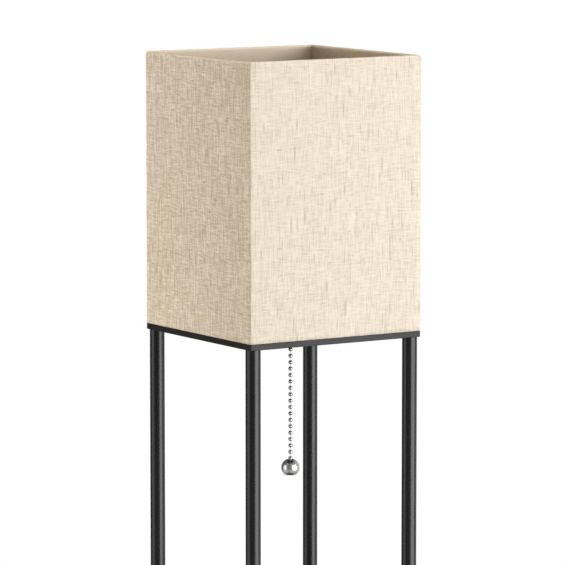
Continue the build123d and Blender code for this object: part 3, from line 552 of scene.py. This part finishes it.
# ---------------------------------------------------------------- the studio
def seen_plainly(tree):
    """1 for rays that show a thing as it is: from the camera, off gloss and through glass."""
    rays = tree.nodes.new("ShaderNodeLightPath").outputs
    seen = rays["Is Camera Ray"]
    for kind in ("Is Glossy Ray", "Is Transmission Ray"):
        either = tree.nodes.new("ShaderNodeMath")
        either.operation = "MAXIMUM"
        tree.links.new(seen, either.inputs[0])
        tree.links.new(rays[kind], either.inputs[1])
        seen = either.outputs[0]
    return seen


def make_floor():
    """Round pale floor that turns to plain white away from the lamp."""
    turns = [2 * pi * step / FLOOR_STEPS for step in range(FLOOR_STEPS)]
    points = [(FLOOR_RADIUS * cos(turn), FLOOR_RADIUS * sin(turn), 0) for turn in turns]
    settings = {"Base Color": FLOOR_COLOUR, "Roughness": 0.8, "Specular IOR Level": 0.2}
    look = Look("studio_floor", settings)
    x, y, _ = look.add("SeparateXYZ", {0: look.place}).outputs
    squares = look.maths("ADD", look.maths("POWER", x, 2.0), look.maths("POWER", y, 2.0))
    away = look.maths("SQRT", squares)
    factor = look.maths("MULTIPLY", look.spread(away, FLOOR_FADE), seen_plainly(look.tree))
    white = look.add("Emission", {"Color": WHITE, "Strength": 1.0})
    both = look.add("MixShader", {0: factor, 1: look.shader.outputs[0], 2: white.outputs[0]})
    look.feed(look.tree.nodes["Material Output"].inputs["Surface"], both.outputs[0])
    floor = mesh_piece("studio_floor", points, [tuple(range(FLOOR_STEPS))], look.material)


def make_sky():
    """Even light all round, and plain white to look at."""
    world = bpy.data.worlds.new("studio")
    bpy.context.scene.world = world
    world.use_nodes = True
    world.cycles.sampling_method = "NONE"
    tree = world.node_tree
    light = tree.nodes["Background"]
    light.inputs["Color"].default_value = SKY_COLOUR
    light.inputs["Strength"].default_value = SKY_LEVEL
    white = tree.nodes.new("ShaderNodeBackground")
    white.inputs["Color"].default_value = WHITE
    both = tree.nodes.new("ShaderNodeMixShader")
    tree.links.new(seen_plainly(tree), both.inputs[0])
    tree.links.new(light.outputs[0], both.inputs[1])
    tree.links.new(white.outputs[0], both.inputs[2])
    tree.links.new(both.outputs[0], tree.nodes["World Output"].inputs["Surface"])


def around(azimuth, distance, height):
    """A place round the lamp: azimuth 0 is in front of it, and positive goes to its right."""
    angle = radians(azimuth)
    return Vector((sin(angle) * distance, -cos(angle) * distance, height))


def make_softbox(name, azimuth, distance, height, tilt, width, length, radiance, colour):
    """A large softbox that faces the lamp."""
    light = bpy.data.lights.new(name, "AREA")
    light.shape = "RECTANGLE"
    light.size = width
    light.size_y = length
    light.energy = radiance * pi * width * length
    light.color = colour
    lamp = bpy.data.objects.new(name, light)
    lamp.location = around(azimuth, distance, height)
    lamp.rotation_euler = (radians(90 - tilt), 0, radians(azimuth))
    lamp.visible_camera = False
    lamp.visible_glossy = False
    bpy.context.scene.collection.objects.link(lamp)


def make_card(name, points, faces, level):
    """A grey card that only gloss and metal show."""
    grey = (level, level, level, 1.0)
    settings = {"Base Color": BLACK, "Emission Color": grey, "Emission Strength": 1.0}
    card = mesh_piece(name, points, faces, Look(name, settings).material)
    card.visible_camera = False
    card.visible_diffuse = False
    card.visible_shadow = False
    card.visible_transmission = False


def make_wall_card(name, start, end, distance, bottom, top, level):
    """A card that stands in an arc round the studio."""
    steps = round((end - start) / CARD_STEP)
    turns = [start + (end - start) * step / steps for step in range(steps + 1)]
    points = [around(turn, distance, height) for height in (bottom, top) for turn in turns]
    above = len(turns)
    faces = [(step, step + 1, above + step + 1, above + step) for step in range(steps)]
    make_card(name, points, faces, level)


def make_level_card(name, height, level):
    """A round card that closes the studio overhead or underfoot."""
    steps = round(360 / CARD_STEP)
    rim = [around(step * CARD_STEP, LEVEL_CARD_RADIUS, height) for step in range(steps)]
    make_card(name, rim, [tuple(range(steps))], level)


def make_camera():
    """Long lens, a little above the shade, from the lamp's front left."""
    data = bpy.data.cameras.new("camera")
    data.sensor_width = SENSOR_WIDTH
    data.lens = FOCAL_PIXELS / PICTURE_SIDE * SENSOR_WIDTH
    data.clip_end = CAMERA_REACH
    camera = bpy.data.objects.new("camera", data)
    camera.location = around(CAMERA_AZIMUTH, CAMERA_DISTANCE, CAMERA_HEIGHT)
    camera.rotation_euler = (radians(90 - CAMERA_PITCH), 0, radians(CAMERA_AZIMUTH))
    bpy.context.scene.collection.objects.link(camera)
    bpy.context.scene.camera = camera


# ---------------------------------------------------------------- put it together
materials = make_materials()
dress_nodes(materials)
shade_skin(materials["linen"])
leaf_spring(materials["spring_steel"])
make_floor()
make_sky()
for name, facts in SOFTBOXES.items():
    make_softbox(name, *facts)
for name, facts in WALL_CARDS.items():
    make_wall_card(name, *facts)
for name, facts in LEVEL_CARDS.items():
    make_level_card(name, *facts)
make_camera()
bpy.context.scene.view_settings.view_transform = "Standard"
